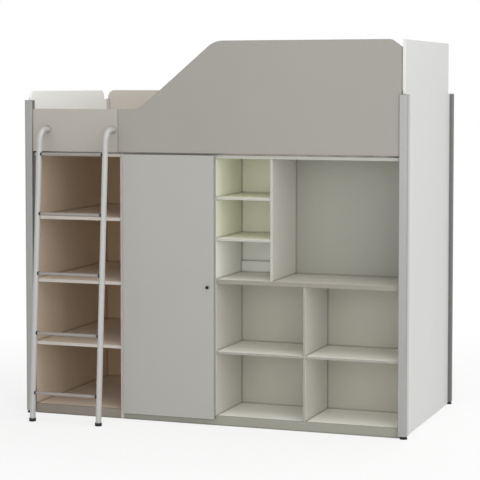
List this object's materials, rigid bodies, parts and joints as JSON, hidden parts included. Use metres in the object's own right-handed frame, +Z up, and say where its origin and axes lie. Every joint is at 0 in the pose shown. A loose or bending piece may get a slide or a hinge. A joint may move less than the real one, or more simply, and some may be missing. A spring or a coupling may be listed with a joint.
{
  "type": "loft bed with storage",
  "caption": "High single bed on aluminium posts with guard panels and a tube ladder, over an open bookcase bay, a one-door wardrobe and a desk with cubby shelves.",
  "frame": {"origin": "on the floor, in the middle of the footprint that the bed and its ladder take together", "axes": "+X along the bed from the ladder end to the desk end, +Y from the front to the back, +Z up"},
  "size_m": [2.022, 1.2028, 1.912],
  "materials": {
    "white_panel": "satin white laminate",
    "guard_grey": "matt warm grey laminate",
    "rear_beige": "matt beige grey laminate",
    "door_grey": "matt light grey laminate",
    "bay_taupe": "matt taupe laminate with pale edging",
    "unit_cream": "matt cream grey laminate with pale edging",
    "plinth_grey": "matt grey laminate",
    "plinth_taupe": "matt taupe laminate",
    "birch": "clear lacquered birch",
    "post_aluminium": "satin anodised",
    "cap_grey": "fine texture",
    "black_plastic": "fine texture",
    "ladder_white": "satin powder coat",
    "zinc_steel": "zinc plated",
    "chrome": "polished"
  },
  "bodies": {
    "frame": {"bay_back": "bay_taupe", "bay_bottom": "bay_taupe", "bay_left_side": "bay_taupe", "bay_plinth": "plinth_taupe", "bay_right_side": "bay_taupe", "bay_shelf_high": "bay_taupe", "bay_shelf_low": "bay_taupe", "bay_shelf_middle": "bay_taupe", "bay_top": "bay_taupe", "bed_slats": "birch", "cubby_back_rail": "unit_cream", "cubby_shelf_high": "unit_cream", "cubby_shelf_low": "unit_cream", "desk_top": "unit_cream", "desk_unit_back": "unit_cream", "desk_unit_bottom": "unit_cream", "desk_unit_side": "unit_cream", "desk_unit_top": "unit_cream", "door_hinge_arms": "zinc_steel", "front_bed_rail": "birch", "front_guard_panel": "guard_grey", "front_left_post": "post_aluminium", "front_low_board": "guard_grey", "front_right_post": "post_aluminium", "hanging_rail": "chrome", "hanging_rail_sockets": "chrome", "hat_shelf": "unit_cream", "ladder_fixings": "zinc_steel", "ladder_left_rail": "ladder_white", "ladder_right_rail": "ladder_white", "ladder_rungs": "ladder_white", "ladder_shoes": "black_plastic", "left_end_panel": "white_panel", "left_end_rail": "birch", "lower_divider": "unit_cream", "lower_left_shelf": "unit_cream", "lower_right_shelf": "unit_cream", "main_plinth": "plinth_grey", "partition": "unit_cream", "post_top_caps": "cap_grey", "rail_corner_brackets": "zinc_steel", "rear_bed_rail": "birch", "rear_guard_panel": "rear_beige", "rear_left_post": "post_aluminium", "rear_right_post": "post_aluminium", "right_end_panel": "white_panel", "right_end_rail": "birch", "rung_collars": "black_plastic", "upper_divider": "unit_cream", "wardrobe_back": "unit_cream", "wardrobe_bottom": "unit_cream", "wardrobe_side": "unit_cream", "wardrobe_top": "unit_cream"},
    "door": {"wardrobe_door": "door_grey", "door_hinge_cups": "zinc_steel", "door_knob": "black_plastic"},
    "front_left_foot": {"front_left_foot": "black_plastic"},
    "front_right_foot": {"front_right_foot": "black_plastic"},
    "rear_left_foot": {"rear_left_foot": "black_plastic"},
    "rear_right_foot": {"rear_right_foot": "black_plastic"}
  },
  "joints": [
    {"name": "door_hinge", "type": "hinge", "parent": "frame", "child": "door", "pos_m": [-0.453, -0.3866, 0.69], "axis": [0, 0, -1], "range_deg": [0, 95]},
    {"name": "front_left_foot_level", "type": "slide", "parent": "frame", "child": "front_left_foot", "axis": [0, 0, -1], "range_m": [0, 0.012]},
    {"name": "front_right_foot_level", "type": "slide", "parent": "frame", "child": "front_right_foot", "axis": [0, 0, -1], "range_m": [0, 0.012]},
    {"name": "rear_left_foot_level", "type": "slide", "parent": "frame", "child": "rear_left_foot", "axis": [0, 0, -1], "range_m": [0, 0.012]},
    {"name": "rear_right_foot_level", "type": "slide", "parent": "frame", "child": "rear_right_foot", "axis": [0, 0, -1], "range_m": [0, 0.012]}
  ]
}
